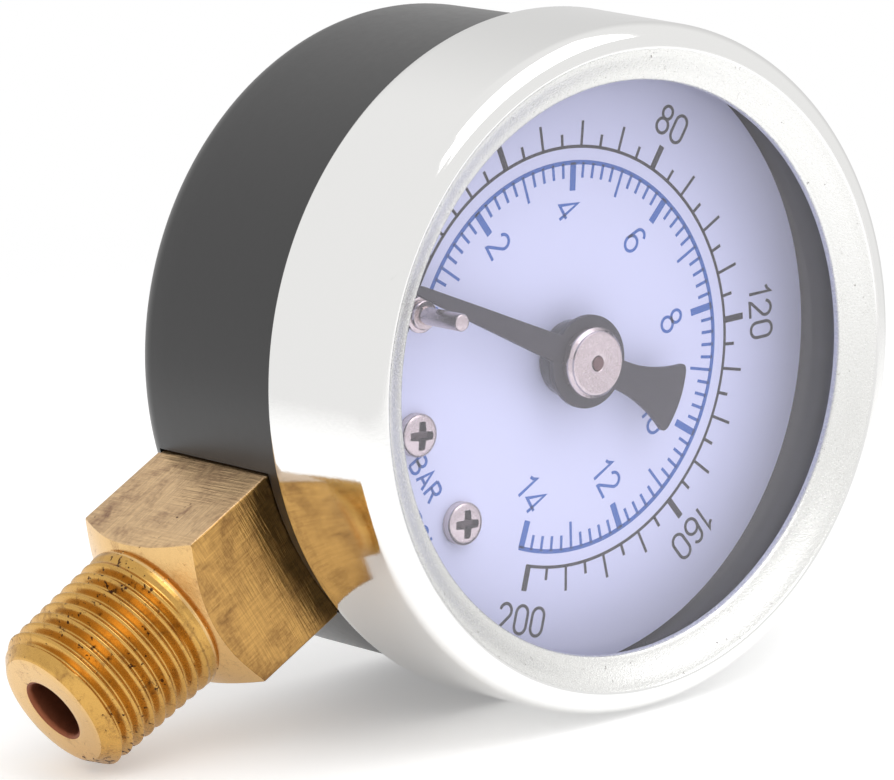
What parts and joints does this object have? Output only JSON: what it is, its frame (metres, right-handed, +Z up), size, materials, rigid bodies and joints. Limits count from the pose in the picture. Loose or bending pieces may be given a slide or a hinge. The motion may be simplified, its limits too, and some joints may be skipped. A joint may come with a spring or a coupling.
{
  "type": "pressure gauge",
  "caption": "Round dial pressure gauge with a chromed bezel, black case, square brass wrench block and tapered pipe thread at the bottom, and a curved tube and geared pointer movement inside.",
  "frame": {"origin": "middle of the mouth of the pressure bore, in the flat tip face of the threaded stem", "axes": "+Z up the stem towards the dial, -Y the way the dial faces, +X to the right of someone reading the dial"},
  "size_m": [0.0436, 0.0254, 0.0598],
  "materials": {
    "brass": "machined",
    "bronze": "drawn",
    "spring_bronze": "rolled",
    "black_paint": "satin",
    "chrome": "polished",
    "glass": "clear",
    "gasket": "matt",
    "dial_white": "printed matt white",
    "nickel": "nickel plated",
    "steel": "turned",
    "pointer_black": "matt",
    "collar_black": "gloss"
  },
  "bodies": {
    "frame": {"socket": "brass", "case": "black_paint", "bezel": "chrome", "window": "glass", "window_gasket": "gasket", "dial": "dial_white", "dial_screws": "nickel", "dial_posts": "brass", "stop_pin": "nickel", "bourdon_tube": "bronze", "hairspring": "spring_bronze", "hairspring_stud": "brass", "front_plate": "brass", "back_plate": "brass", "plate_pillars": "brass", "plate_screws": "steel", "movement_screws": "steel", "rear_screws": "steel"},
    "pointer_body": {"pointer": "pointer_black", "pointer_collar": "collar_black", "pointer_button": "nickel", "pinion_arbor": "brass", "hairspring_collet": "brass"},
    "sector_body": {"sector_gear": "brass", "sector_arbor": "steel", "sector_link_pin": "steel"},
    "tube_tip": {"tube_end": "brass", "tube_end_pin": "steel"},
    "link_body": {"link": "brass"}
  },
  "joints": [
    {"name": "pointer_turn", "type": "hinge", "parent": "frame", "child": "pointer_body", "pos_m": [0, -0.0103, 0.038], "axis": [0, 1, 0], "range_deg": [0, 260.4], "deforming": ["hairspring"]},
    {"name": "sector_swing", "type": "hinge", "parent": "frame", "child": "sector_body", "pos_m": [0.00683, -0.0063, 0.03042], "axis": [0, 1, 0], "range_deg": [-35.2, 0.5]},
    {"name": "tube_lift", "type": "hinge", "parent": "frame", "child": "tube_tip", "pos_m": [-0.00249, 0.0002, 0.04214], "axis": [0, 1, 0], "range_deg": [-5.4, 0.2], "deforming": ["bourdon_tube"]},
    {"name": "link_swing", "type": "hinge", "parent": "sector_body", "child": "link_body", "pos_m": [0.00959, -0.0052, 0.02998], "axis": [0, 1, 0], "range_deg": [-0.5, 42.5]}
  ],
  "couplings": [
    {"joint": "sector_swing", "follows": "pointer_turn", "ratio": -0.13333},
    {"joint": "tube_lift", "follows": "pointer_turn", "ratio": -0.020361},
    {"joint": "link_swing", "follows": "pointer_turn", "ratio": 0.16146}
  ]
}
